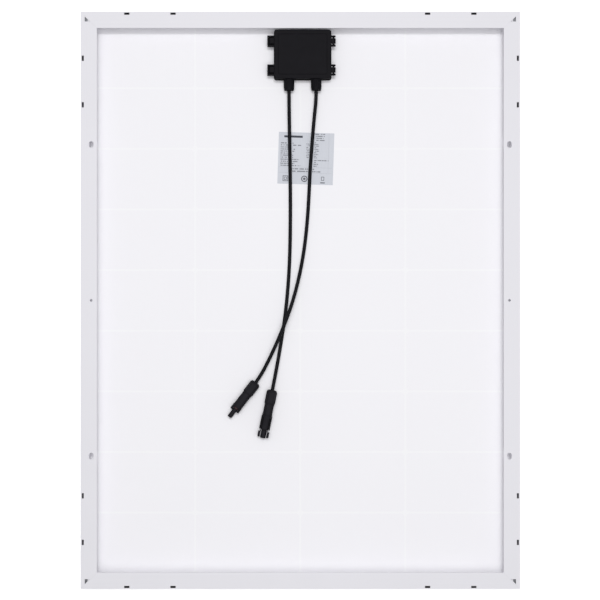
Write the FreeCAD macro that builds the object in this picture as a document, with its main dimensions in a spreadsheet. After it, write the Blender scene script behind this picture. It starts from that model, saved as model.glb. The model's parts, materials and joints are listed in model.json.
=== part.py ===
import FreeCAD, Part
import math
import os
import re

import Sketcher

# A framed photovoltaic panel lying face down: X across its width, Y along its length with the
# junction box at +Y, and Z from the front lip of the frame (0) up to its rear flange. Millimetres.

SIZES = {
    # frame: overall size and the extruded rail's section, from its outer face inwards
    "panel_width": 670,
    "panel_length": 880,
    "frame_depth": 30,
    "wall": 1.4,
    "lip_width": 9,
    "groove_top": 6.9,
    "ledge_thickness": 1.3,
    "chamber_width": 12,
    "flange_width": 25,
    # holes punched in the rear flange
    "drain_length": 8,
    "drain_width": 3.2,
    "long_drain_inset": 1.8,
    "short_drain_inset": 1.5,
    "long_drain_far": 369,
    "long_drain_near": 298,
    "short_drain_far": 264.5,
    "short_drain_near": 194,
    "mount_slot_length": 10,
    "mount_slot_width": 7,
    "hole_inset": 16.2,
    "mount_slot_spacing": 475,
    "ground_hole_diameter": 4,
    "corner_hole_inset": 6.4,
    "corner_hole_leg": 7.5,
    "corner_hole_offset": 1.1,
    # corner keys in the hollow chamber
    "key_leg": 45,
    "key_clearance": 0.1,
    "key_top": 26,
    "key_tip": 4,
    # laminate, from the glass at the front to the backsheet at the rear
    "laminate_gap": 2.5,
    "glass_bottom": 1.8,
    "glass_thickness": 3.2,
    "front_encapsulant_thickness": 0.5,
    "rear_encapsulant_thickness": 0.7,
    "backsheet_thickness": 0.3,
    # solar cells, four strings of nine
    "cell_width": 158.75,
    "cell_length": 91,
    "cell_thickness": 0.2,
    "column_pitch": 161.75,
    "row_pitch": 93.4,
    # flat copper ribbons
    "ribbon_width": 1.2,
    "ribbon_thickness": 0.2,
    "ribbon_pitch": 31.2,
    "ribbon_inset": 3.5,
    "ribbon_clearance": 0.1,
    "bus_width": 5,
    "inner_bus": 423.5,
    "outer_bus": 431.5,
    "bus_overhang": 76,
    # leads from the laminate into the junction box
    "lead_pitch": 20.85,
    "lead_rise": 401,
    "lead_top": 14.4,
    "lead_end": 391,
    "lead_slot_length": 56,
    "lead_slot_width": 5,
    # printed rating label on the backsheet
    "label_width": 85.5,
    "label_length": 79.8,
    "label_thickness": 0.15,
    "label_across": 8.5,
    "label_along": 218.5,
    "label_turn": 1.8,
    # junction box
    "box_across": 3.55,
    "box_along": 376.45,
    "box_width": 88.5,
    "box_length": 75.9,
    "box_bottom": 7.1,
    "box_foot": 2,
    "box_step": 1.2,
    "box_wall": 2.2,
    "box_wall_top": 22,
    "box_corner": 4,
    "adhesive_inset": 2.5,
    "gasket_thickness": 0.5,
    "lid_bottom": 22.6,
    "lid_plate": 2,
    "lid_panel": 0.9,
    "lid_panel_inset": 6.5,
    "lid_panel_corner": 3,
    "lid_panel_bevel": 0.5,
    "lid_inset": 0.4,
    "lid_rim_depth": 1.2,
    "lid_rim_gap": 0.6,
    "lid_rim_wall": 1.3,
    "lid_overlap": 1,
    "gasket_inset": 0.3,
    "pedestal_top": 13.4,
    "pedestal_side": 1,
    "pedestal_end": 3,
    # hinges at +X and latches at -X: two of each, at these places along the box
    "lug_near": -23.75,
    "lug_far": 20.55,
    "lug_length": 16.4,
    "cheek": 2.3,
    "hinge_across": 47.35,
    "hinge_height": 19.5,
    "hinge_pin_radius": 1.5,
    "hinge_eye_radius": 3.2,
    "hinge_clearance": 0.2,
    "hinge_eye_length": 7.8,
    "hinge_mouth": 2.4,
    "hook_root": 1,
    "latch_reach": 54.05,
    "latch_bar": 2,
    "latch_bottom": 14,
    "latch_floor": 1.4,
    "latch_slot": 2,
    "latch_tongue_width": 9,
    "latch_tongue_wall": 1.6,
    "latch_tongue_reach": 50.3,
    "latch_barb": 1.3,
    "latch_barb_height": 1.5,
    "tongue_clearance": 1,
    # cable glands
    "gland_pitch": 41.7,
    "gland_height": 15.5,
    "spigot_radius": 6,
    "spigot_length": 12.2,
    "gland_nut_face": 338.2,
    "gland_nut_radius": 8.15,
    "gland_nut_end_radius": 7.3,
    "gland_nut_length": 16.4,
    "gland_nut_grip": 11,
    "gland_flutes": 12,
    "gland_flute_radius": 1.1,
    "gland_flute_end": 1.2,
    "gland_mouth_length": 2.6,
    "gland_step": 0.2,
    "gland_clearance": 0.25,
    "seal_bore_radius": 4.5,
    "seal_bore_depth": 8,
    "seal_inset": 0.3,
    "cable_bore_radius": 2.95,
    "fit_gap": 0.05,
    "overcut": 1,
    # cable and its copper core
    "cable_diameter": 5.4,
    "core_diameter": 2.6,
    "stub_start": 349,
    "core_start": 357,
    "tube_start": 330,
    # contact rails and bypass diodes
    "rail_width": 8,
    "rail_thickness": 0.8,
    "rail_start": 351,
    "rail_end": 397,
    "diode_radius": 2.7,
    "diode_body": 9,
    "diode_wire_radius": 0.6,
    "diode_length": 17,
    "diode_along": 377,
    # plug connectors, both on the same height above the frame's front
    "connector_height": 15.1,
    "female_across": -68,
    "female_along": -126.2,
    "female_turn": 232.1,
    "male_across": -42.9,
    "male_along": -137.9,
    "male_turn": 258.4,
    "coupling_nut_length": 21,
    "coupling_nut_radius": 8.2,
    "coupling_nut_back": 5.8,
    "coupling_nut_shoulder": 7.1,
    "coupling_nut_rim": 1.5,
    "coupling_nut_dome": 3.2,
    "coupling_nut_flat": 7.5,
    "flat_reach": 3,
    "flat_end": 2.5,
    "coupling_mouth": 3,
    "coupling_cavity": 5.9,
    "coupling_cavity_start": 4,
    "coupling_cavity_cone": 1.5,
    "connector_seal_radius": 4.2,
    "connector_seal_inset": 0.2,
    "thread_start": 8,
    "thread_radius": 5.6,
    "body_start": 21.3,
    "body_radius": 7.65,
    "body_flat": 7.2,
    "body_flats": 8,
    "cable_seal_end": 16,
    "cable_stop": 23,
    "contact_radius": 2.2,
    "contact_bore": 2.3,
    "female_shroud_floor": 47.5,
    "female_shroud_end": 54.2,
    "female_shroud_bore": 6.2,
    "female_window": 7.4,
    "window_start": 0.4,
    "nose_gap": 0.2,
    "nose_radius": 3.5,
    "nose_end": 66.6,
    "socket_end": 64,
    "socket_depth": 14,
    "socket_bore": 1.55,
    "ring_radius": 5.6,
    "ring_length": 3.4,
    "ring_start": 0.1,
    "ring_bevel": 0.7,
    "male_seam": 39.3,
    "male_seam_width": 0.6,
    "male_seam_depth": 0.5,
    "male_front_radius": 8.3,
    "male_front_end": 62,
    "male_front_bevel": 1.4,
    "male_tube_radius": 4.2,
    "male_tube_bore": 3.6,
    "male_tube_floor": 48,
    "male_tube_end": 74.6,
    "pin_radius": 1.45,
    "pin_end": 66,
    "pin_shoulder": 1,
    "pin_taper": 1.5,
    "arm_slot_start": 43,
    "arm_slot_inner": 4.3,
    "arm_slot_outer": 7,
    "arm_slot_floor": 3.9,
    "arm_inner": 5.2,
    "arm_outer": 6.1,
    "arm_height": 7.2,
    "arm_start": 43.4,
    "arm_tip": 73.6,
    "barb_start": 64.9,
    "barb_reach": 8.6,
    "barb_bevel": 1.2,
}
STRINGS = 4
CELLS = 9
RIBBONS = 5
# the share of a run that the arc at its end takes, and two tolerances in mm and mm3
ARC_SHARE = 0.45
SAME_PLACE = 1e-6
LEAST_CUT = 0.01

# Each cable's route, point by point, from inside its gland to inside its connector.
LEFT_CABLE_ROUTE = [
    (-17.3, 330.0, 15.5),
    (-17.3, 303.0, 15.4),
    (-16.8, 270.0, 12.4),
    (-16.1, 228.0, 9.5),
    (-15.4, 182.0, 9.4),
    (-15.2, 128.0, 9.4),
    (-15.9, 74.0, 9.4),
    (-18.2, 28.0, 9.4),
    (-22.6, -19.0, 9.4),
    (-29.4, -64.0, 9.4),
    (-35.1, -97.0, 12.2),
    (-41.35, -130.35, 15.1),
    (-47.33, -159.45, 15.1),
]
RIGHT_CABLE_ROUTE = [
    (24.4, 330.0, 15.5),
    (24.4, 308.0, 15.5),
    (21.4, 282.0, 14.2),
    (18.3, 244.0, 10.2),
    (15.1, 203.0, 9.4),
    (13.4, 163.0, 9.4),
    (10.9, 122.0, 9.4),
    (6.6, 82.0, 9.5),
    (0.6, 47.0, 11.8),
    (-6.6, 16.0, 16.8),
    (-15.2, -13.0, 20.1),
    (-31.0, -54.0, 20.1),
    (-48.6, -92.5, 16.7),
    (-63.9, -121.0, 15.1),
    (-81.27, -143.25, 15.1),
]

doc = FreeCAD.newDocument("solar_panel")
sheet = doc.addObject("Spreadsheet::Sheet", "Sheet")
for row, (alias, size) in enumerate(SIZES.items(), start=1):
    sheet.set(f"A{row}", alias)
    sheet.set(f"B{row}", str(size))
    sheet.setAlias(f"B{row}", alias)
doc.recompute()

NODES = []


def linked(text):
    """The expression with the sheet's name before each alias."""
    return re.sub(r"[a-z_]+", lambda m: "Sheet." + m.group() if m.group() in SIZES else m.group(), str(text))


def bind(thing, **sizes):
    """Bind properties to sheet expressions; x, y and z are the Placement's base."""
    for name, text in sizes.items():
        path = "Placement.Base." + name if name in ("x", "y", "z") else name
        thing.setExpression(path, linked(text))
    return thing


def node(thing, label):
    """Name a finished sub-part, which is written to parts/ under its label."""
    thing.Label = label
    NODES.append(thing)
    return thing


def turned(thing, angle):
    """Turn a sub-part about Z, in degrees."""
    thing.setExpression("Placement.Rotation.Axis.x", "0")
    thing.setExpression("Placement.Rotation.Axis.y", "0")
    thing.setExpression("Placement.Rotation.Axis.z", "1")
    thing.setExpression("Placement.Rotation.Angle", linked(angle))
    return thing


# ---- solids by primitives and booleans ----

def block(low, high):
    """A box between two corners."""
    solid = doc.addObject("Part::Box", "block")
    spans = [f"({b}) - ({a})" for a, b in zip(low, high)]
    bind(solid, x=low[0], y=low[1], z=low[2], Length=spans[0], Width=spans[1], Height=spans[2])
    return solid


AXIS_TURNS = {
    "x": FreeCAD.Rotation(FreeCAD.Vector(0, 1, 0), 90),
    "y": FreeCAD.Rotation(FreeCAD.Vector(1, 0, 0), -90),
    "z": FreeCAD.Rotation(),
}


def rod(start, radius, length, axis="z"):
    """A cylinder from its start point along an axis."""
    solid = doc.addObject("Part::Cylinder", "rod")
    solid.Placement.Rotation = AXIS_TURNS[axis]
    bind(solid, x=start[0], y=start[1], z=start[2], Radius=radius, Height=length)
    return solid


def fused(pieces):
    solid = doc.addObject("Part::MultiFuse", "fused")
    solid.Shapes = pieces
    solid.Refine = True
    return solid


def grouped(pieces):
    group = doc.addObject("Part::Compound", "group")
    group.Links = pieces
    return group


def less(base, tools):
    """base with the tools cut away."""
    solid = doc.addObject("Part::Cut", "cut")
    solid.Base = base
    solid.Tool = tools[0] if len(tools) == 1 else grouped(tools)
    return solid


# ---- solids by sketches and features ----

def new_body():
    return doc.addObject("PartDesign::Body", "body")


def sketch_on(body, plane, offset="0"):
    """An empty sketch on one of the body's origin planes, moved along the plane's normal."""
    sketch = body.newObject("Sketcher::SketchObject", "sketch")
    support = [f for f in body.Origin.OriginFeatures if f.Role == plane + "_Plane"][0]
    sketch.AttachmentSupport = [(support, "")]
    sketch.MapMode = "FlatFace"
    sketch.setExpression("AttachmentOffset.Base.z", linked(offset))
    return sketch


def fix(sketch, geometry, point, place):
    """Fix a point of the sketch to an x and a y given as expressions."""
    for kind, text in zip(("DistanceX", "DistanceY"), place):
        number = sketch.addConstraint(Sketcher.Constraint(kind, -1, 1, geometry, point, 1.0))
        sketch.setExpression(f"Constraints[{number}]", linked(text))


def outline(sketch, points):
    """A closed run of straight lines through the points."""
    first = sketch.GeometryCount
    count = len(points)
    corners = [FreeCAD.Vector(math.cos(2 * math.pi * i / count), math.sin(2 * math.pi * i / count), 0)
               for i in range(count + 1)]
    for i in range(count):
        sketch.addGeometry(Part.LineSegment(corners[i], corners[i + 1]), False)
    for i in range(count):
        sketch.addConstraint(Sketcher.Constraint("Coincident", first + i, 2, first + (i + 1) % count, 1))
    for i, place in enumerate(points):
        fix(sketch, first + i, 1, place)
    return sketch


def rectangle(sketch, low, high):
    return outline(sketch, [low, (high[0], low[1]), high, (low[0], high[1])])


def circle(sketch, centre, radius):
    shape = Part.Circle(FreeCAD.Vector(0, 0, 0), FreeCAD.Vector(0, 0, 1), 1)
    number = sketch.addGeometry(shape, False)
    fix(sketch, number, 3, centre)
    constraint = sketch.addConstraint(Sketcher.Constraint("Radius", number, 1.0))
    sketch.setExpression(f"Constraints[{constraint}]", linked(radius))
    return sketch


def pad(sketch, length):
    """Grow the sketch along its plane's normal."""
    feature = sketch.getParentGeoFeatureGroup().newObject("PartDesign::Pad", "pad")
    feature.Profile = sketch
    return bind(feature, Length=length)


def pocket(sketch, depth):
    """Cut from the sketch against its plane's normal."""
    feature = sketch.getParentGeoFeatureGroup().newObject("PartDesign::Pocket", "pocket")
    feature.Profile = sketch
    return bind(feature, Length=depth)


def around(body, feature, count):
    """Repeat a feature about the body's X axis."""
    pattern = body.newObject("PartDesign::PolarPattern", "ring")
    pattern.Originals = [feature]
    axis = [f for f in body.Origin.OriginFeatures if f.Role == "X_Axis"][0]
    pattern.Axis = (axis, [""])
    pattern.Angle = 360
    bind(pattern, Occurrences=count)
    body.Tip = pattern
    return pattern


def revolved(points):
    """A body turned about its X axis from an outline of (along, radius) points."""
    body = new_body()
    sketch = outline(sketch_on(body, "XZ"), points)
    feature = body.newObject("PartDesign::Revolution", "turn")
    feature.Profile = sketch
    feature.ReferenceAxis = (sketch, ["H_Axis"])
    feature.Angle = 360
    return body


def softened(body, kind, size, wanted):
    """Fillet or chamfer the edges of the body's last feature that pass the test."""
    doc.recompute()
    base = body.Tip
    edges = [f"Edge{i}" for i, edge in enumerate(base.Shape.Edges, start=1) if wanted(edge)]
    feature = body.newObject("PartDesign::" + kind, kind.lower())
    feature.Base = (base, edges)
    bind(feature, **{"Radius" if kind == "Fillet" else "Size": size})
    return feature


def upright(edge):
    """Whether an edge is a straight one parallel to Z."""
    ends = [v.Point for v in edge.Vertexes]
    return len(ends) == 2 and math.hypot(ends[0].x - ends[1].x, ends[0].y - ends[1].y) < SAME_PLACE


# ---- frame: each rail lies along its own X, with Y inwards from its outer face ----

def mitred_bar(body, length):
    """The hollow extrusion, cut at 45 degrees at both ends."""
    outer = [("0", "0"), ("lip_width", "0"), ("lip_width", "wall"), ("wall", "wall"),
             ("wall", "groove_top"), ("chamber_width", "groove_top"),
             ("chamber_width", "frame_depth - wall"), ("flange_width", "frame_depth - wall"),
             ("flange_width", "frame_depth"), ("0", "frame_depth")]
    section = outline(sketch_on(body, "YZ", f"-{length} / 2"), outer)
    rectangle(section, ("wall", "groove_top + ledge_thickness"),
              ("chamber_width - wall", "frame_depth - wall"))
    pad(section, length)
    mitres = sketch_on(body, "XY", "frame_depth")
    for side in ("-", ""):
        end = f"{side}({length} / 2 + overcut)"
        inner = f"{side}({length} / 2 - flange_width - overcut)"
        outline(mitres, [(end, "-overcut"), (inner, "flange_width + overcut"), (end, "flange_width + overcut")])
    pocket(mitres, "frame_depth")


def punch_drains(body, places, inset):
    """The drain slots through the flange, in pairs about the rail's middle."""
    punched = sketch_on(body, "XY", "frame_depth")
    for place in places:
        for side in ("-", ""):
            middle = f"{side}{place}"
            rectangle(punched, (f"{middle} - drain_length / 2", inset),
                      (f"{middle} + drain_length / 2", f"{inset} + drain_width"))
    pocket(punched, "wall")


def punch_corners(body, length):
    """The corner openings beside the mitres, and the earthing hole half way along."""
    punched = sketch_on(body, "XY", "frame_depth")
    for side in ("-", ""):
        at = f"{side}({length} / 2 - corner_hole_inset - corner_hole_offset)"
        far = f"{side}({length} / 2 - corner_hole_inset - corner_hole_offset - corner_hole_leg)"
        outline(punched, [(at, "corner_hole_inset"), (far, "corner_hole_inset"),
                          (far, "corner_hole_inset + corner_hole_leg")])
    circle(punched, ("0", "hole_inset"), "ground_hole_diameter / 2")
    pocket(punched, "wall")


def punch_mounting_slots(body):
    """Two slots with round ends: first the middles, then the two ends of each."""
    reach = "(mount_slot_length - mount_slot_width) / 2"
    middles = sketch_on(body, "XY", "frame_depth")
    for side in ("-", ""):
        middle = f"{side}mount_slot_spacing / 2"
        rectangle(middles, (f"{middle} - {reach}", "hole_inset - mount_slot_width / 2"),
                  (f"{middle} + {reach}", "hole_inset + mount_slot_width / 2"))
    pocket(middles, "wall")
    for end in ("-", "+"):
        ends = sketch_on(body, "XY", "frame_depth")
        for side in ("-", ""):
            circle(ends, (f"{side}mount_slot_spacing / 2 {end} {reach}", "hole_inset"), "mount_slot_width / 2")
        pocket(ends, "wall")


def long_rail(label, angle, across):
    """A side rail, which also carries the mounting slots and the corner openings."""
    body = new_body()
    mitred_bar(body, "panel_length")
    punch_drains(body, ("long_drain_far", "long_drain_near"), "long_drain_inset")
    punch_corners(body, "panel_length")
    punch_mounting_slots(body)
    node(bind(turned(body, angle), x=across), label)


def short_rail(label, angle, along):
    body = new_body()
    mitred_bar(body, "panel_width")
    punch_drains(body, ("short_drain_far", "short_drain_near"), "short_drain_inset")
    node(bind(turned(body, angle), y=along), label)


def corner_key(label, angle, across, along):
    """An L-shaped aluminium key that joins two rails inside their chambers."""
    near = "wall + key_clearance"
    far = "chamber_width - wall - key_clearance"
    body = new_body()
    shape = sketch_on(body, "XY", "groove_top + ledge_thickness + key_clearance")
    outline(shape, [(near, near), ("key_leg - key_tip / 2", near), ("key_leg", f"{near} + key_tip / 2"),
                    ("key_leg", f"{far} - key_tip / 2"), ("key_leg - key_tip / 2", far), (far, far),
                    (far, "key_leg - key_tip / 2"), (f"{far} - key_tip / 2", "key_leg"),
                    (f"{near} + key_tip / 2", "key_leg"), (near, "key_leg - key_tip / 2")])
    pad(shape, "key_top - groove_top - ledge_thickness - key_clearance")
    bind(turned(body, angle), x=across, y=along)
    return node(body, label)


def make_frame():
    short_rail("short_rail_bottom", 0, "-panel_length / 2")
    long_rail("long_rail_right", 90, "panel_width / 2")
    short_rail("short_rail_top", 180, "panel_length / 2")
    long_rail("long_rail_left", 270, "-panel_width / 2")
    corners = [("bottom_left", "-", "-", 0), ("bottom_right", "", "-", 90),
               ("top_right", "", "", 180), ("top_left", "-", "", 270)]
    for name, side, end, angle in corners:
        corner_key("corner_key_" + name, angle, f"{side}panel_width / 2", f"{end}panel_length / 2")


# ---- laminate ----

HALF_WIDTH = "(panel_width / 2 - laminate_gap)"
HALF_LENGTH = "(panel_length / 2 - laminate_gap)"
GLASS_TOP = "(glass_bottom + glass_thickness)"
CELL_FACE = "(glass_bottom + glass_thickness + front_encapsulant_thickness)"
CELL_BACK = f"({CELL_FACE} + cell_thickness)"
REAR_TOP = f"({CELL_FACE} + rear_encapsulant_thickness)"
SHEET_TOP = f"({REAR_TOP} + backsheet_thickness)"


def slab(bottom, top):
    """A layer of the laminate at its full width and length."""
    return block((f"-{HALF_WIDTH}", f"-{HALF_LENGTH}", bottom), (HALF_WIDTH, HALF_LENGTH, top))


def column_at(string):
    """Where a string's middle is across the panel."""
    return f"({string - (STRINGS - 1) / 2} * column_pitch)"


def ribbon_at(string, number):
    return f"({column_at(string)} + {number - (RIBBONS - 1) / 2} * ribbon_pitch)"


def ribbon_channels(bottom, top):
    """The straight channels that the ribbons lie in, one per ribbon and string."""
    half = "(ribbon_width / 2 + ribbon_clearance)"
    return [block((f"{ribbon_at(s, n)} - {half}", "-inner_bus - bus_width / 2 - ribbon_clearance", bottom),
                  (f"{ribbon_at(s, n)} + {half}", "outer_bus + bus_width / 2 + ribbon_clearance", top))
            for s in range(STRINGS) for n in range(RIBBONS)]


def lead_places():
    """Where the three leads rise across the panel: left cable, middle tap, right cable."""
    return [f"(box_across + {step} * lead_pitch)" for step in (-1, 0, 1)]


def make_front_encapsulant():
    tops = CELL_FACE
    sheet_solid = less(slab(GLASS_TOP, tops), ribbon_channels(f"{tops} - ribbon_thickness", tops))
    return node(sheet_solid, "front_encapsulant")


def make_rear_encapsulant():
    """The rear resin sheet, with room for the strings, the bus ribbons and the leads."""
    bus_low = "inner_bus - bus_width / 2 - ribbon_clearance"
    columns = [block((f"{column_at(s)} - cell_width / 2", f"-({bus_low})", CELL_FACE),
                     (f"{column_at(s)} + cell_width / 2", bus_low, CELL_BACK)) for s in range(STRINGS)]
    half = f"({column_at(STRINGS - 1)} + bus_overhang + ribbon_clearance)"
    bus_rooms = [
        block((f"-{half}", bus_low, CELL_FACE),
              (half, "outer_bus + bus_width / 2 + ribbon_clearance", CELL_BACK)),
        block((f"-{half}", "-inner_bus - bus_width / 2 - ribbon_clearance", CELL_FACE),
              (half, f"-({bus_low})", CELL_BACK)),
    ]
    channels = ribbon_channels(CELL_BACK, f"{CELL_BACK} + ribbon_thickness")
    leads = []
    for place in lead_places():
        low = f"{place} - bus_width / 2 - ribbon_clearance"
        high = f"{place} + bus_width / 2 + ribbon_clearance"
        leads.append(block((low, "lead_rise - 2 * ribbon_thickness", f"{REAR_TOP} - ribbon_thickness"),
                           (high, bus_low, REAR_TOP)))
        leads.append(block((low, bus_low, CELL_BACK),
                           (high, "outer_bus + bus_width / 2 + ribbon_clearance", REAR_TOP)))
    solid = less(less(less(less(slab(CELL_FACE, REAR_TOP), columns), bus_rooms), channels), leads)
    return node(solid, "rear_encapsulant")


def lead_slot(bottom, top):
    """The slot that the leads pass through."""
    return block(("box_across - lead_slot_length / 2", "lead_rise - lead_slot_width / 2", bottom),
                 ("box_across + lead_slot_length / 2", "lead_rise + lead_slot_width / 2", top))


def make_edge_seal():
    """The resilient strip round the laminate's edge, a U in section."""
    half_w = "(panel_width / 2 - wall)"
    half_l = "(panel_length / 2 - wall)"
    ring = block((f"-{half_w}", f"-{half_l}", "wall"), (half_w, half_l, "groove_top"))
    front = block(("-(panel_width / 2 - lip_width)", "-(panel_length / 2 - lip_width)", "wall"),
                  ("panel_width / 2 - lip_width", "panel_length / 2 - lip_width", "glass_bottom"))
    rear = block(("-(panel_width / 2 - chamber_width)", "-(panel_length / 2 - chamber_width)", SHEET_TOP),
                 ("panel_width / 2 - chamber_width", "panel_length / 2 - chamber_width", "groove_top"))
    solid = less(less(less(ring, [slab("glass_bottom", SHEET_TOP)]), [front]), [rear])
    return node(solid, "edge_seal")


def make_cell_strings():
    for string in range(STRINGS):
        cells = []
        for row in range(CELLS):
            middle = f"({(CELLS - 1) / 2 - row} * row_pitch)"
            cells.append(block(
                (f"{column_at(string)} - cell_width / 2", f"{middle} - cell_length / 2", CELL_FACE),
                (f"{column_at(string)} + cell_width / 2", f"{middle} + cell_length / 2", CELL_BACK)))
        node(grouped(cells), f"cell_string_{string + 1}")


def strip(points, across, width):
    """A flat strip: an outline of (along, height) points given a width across the panel."""
    corners = [FreeCAD.Vector(across - width / 2, y, z) for y, z in points]
    face = Part.Face(Part.makePolygon(corners + corners[:1]))
    return face.extrude(FreeCAD.Vector(width, 0, 0))


def solid_feature(shape, label):
    feature = doc.addObject("Part::Feature", label)
    feature.Shape = shape
    return node(feature, label)


def make_tabbing_ribbons():
    """The ribbons of each string. Each one runs from one face of a cell to the other face of the next."""
    size = sheet.get
    thick = size("ribbon_thickness")
    face = size("glass_bottom") + size("glass_thickness") + size("front_encapsulant_thickness")
    levels = (face - thick, face + size("cell_thickness"))
    half = size("cell_length") / 2
    run = half - size("ribbon_inset")
    first_row = size("row_pitch") * (CELLS - 1) / 2
    bottom_end = -size("inner_bus") - size("bus_width") / 2
    for string in range(STRINGS):
        outer_string = string in (0, STRINGS - 1)
        top_end = size("outer_bus" if outer_string else "inner_bus") + size("bus_width") / 2
        # odd and even strings carry the current in opposite directions
        upper, lower = levels[::-1] if string % 2 == 0 else levels
        outlines = [[(top_end, lower), (first_row - run, lower),
                     (first_row - run, lower + thick), (top_end, lower + thick)],
                    [(-first_row + run, upper), (bottom_end, upper),
                     (bottom_end, upper + thick), (-first_row + run, upper + thick)]]
        for row in range(CELLS - 1):
            above = first_row - row * size("row_pitch")
            below = above - size("row_pitch")
            path = [(above + run, upper), (above - half, upper), (below + half, lower), (below - run, lower)]
            outlines.append(path + [(y, z + thick) for y, z in reversed(path)])
        middle = (string - (STRINGS - 1) / 2) * size("column_pitch")
        strips = [strip(points, middle + (n - (RIBBONS - 1) / 2) * size("ribbon_pitch"), size("ribbon_width"))
                  for n in range(RIBBONS) for points in outlines]
        solid_feature(Part.makeCompound(strips), f"tabbing_ribbons_{string + 1}")


def make_bus_ribbons():
    """The wide ribbons that join the strings, and the three leads that rise into the junction box."""
    size = sheet.get
    thick = size("ribbon_thickness")
    width = size("bus_width")
    face = size("glass_bottom") + size("glass_thickness") + size("front_encapsulant_thickness")
    over = face + size("rear_encapsulant_thickness") - thick
    pitch = size("column_pitch")
    reach = size("bus_overhang")
    leads = [size("box_across") + step * size("lead_pitch") for step in (-1, 0, 1)]
    first, second, third, fourth = [(string - (STRINGS - 1) / 2) * pitch for string in range(STRINGS)]
    rows = [(first - reach, second + reach, -size("inner_bus")),
            (third - reach, fourth + reach, -size("inner_bus")),
            (second - reach, third + reach, size("inner_bus")),
            (first - reach, leads[0] + width / 2, size("outer_bus")),
            (leads[2] - width / 2, fourth + reach, size("outer_bus"))]
    shapes = [Part.makeBox(right - left, width, thick, FreeCAD.Vector(left, along - width / 2, face))
              for left, right, along in rows]
    rise = size("lead_rise")
    for place, along in zip(leads, ("outer_bus", "inner_bus", "outer_bus")):
        near = size(along) - width / 2
        far = size(along) + width / 2
        path = [(far, face + thick), (near, face + thick), (near, over), (rise - thick, over),
                (rise - thick, size("lead_top") - thick), (size("lead_end"), size("lead_top") - thick),
                (size("lead_end"), size("lead_top")), (rise, size("lead_top")), (rise, over + thick),
                (far, over + thick)]
        shapes.append(strip(path, place, width))
    solid_feature(Part.makeCompound(shapes), "bus_ribbons")


def make_laminate():
    node(slab("glass_bottom", GLASS_TOP), "front_glass")
    make_front_encapsulant()
    make_cell_strings()
    make_tabbing_ribbons()
    make_bus_ribbons()
    make_rear_encapsulant()
    node(less(slab(REAR_TOP, SHEET_TOP), [lead_slot(REAR_TOP, SHEET_TOP)]), "backsheet")
    make_edge_seal()
    label = block(("-label_width / 2", "-label_length / 2", "0"),
                  ("label_width / 2", "label_length / 2", "label_thickness"))
    placed = grouped([label])
    bind(turned(placed, "-label_turn"), x="label_across", y="label_along", z=SHEET_TOP)
    node(placed, "rating_label")


# ---- junction box, in a frame whose origin is the box's middle on the backsheet's level ----

def set_in_box(thing, label):
    return node(bind(thing, x="box_across", y="box_along"), label)


def rounded_block(body, half_across, half_along, bottom, top, corner):
    """A box with rounded upright edges, as the first feature of a body."""
    base = sketch_on(body, "XY", bottom)
    rectangle(base, (f"-({half_across})", f"-({half_along})"), (half_across, half_along))
    pad(base, f"({top}) - ({bottom})")
    softened(body, "Fillet", corner, upright)
    return body


def above(height):
    """A test for the edges that lie wholly above a height."""
    return lambda edge: min(v.Point.z for v in edge.Vertexes) > height


def lug_spans(width):
    """The start and end along the box of a piece of that width, centred in each lug."""
    return [(f"{place} - {width} / 2", f"{place} + {width} / 2") for place in ("lug_near", "lug_far")]


def cheek_spans():
    """The start and end along the box of the two cheeks of each lug."""
    spans = []
    for low, high in lug_spans("lug_length"):
        spans += [(low, f"{low} + cheek"), (f"{high} - cheek", high)]
    return spans


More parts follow.
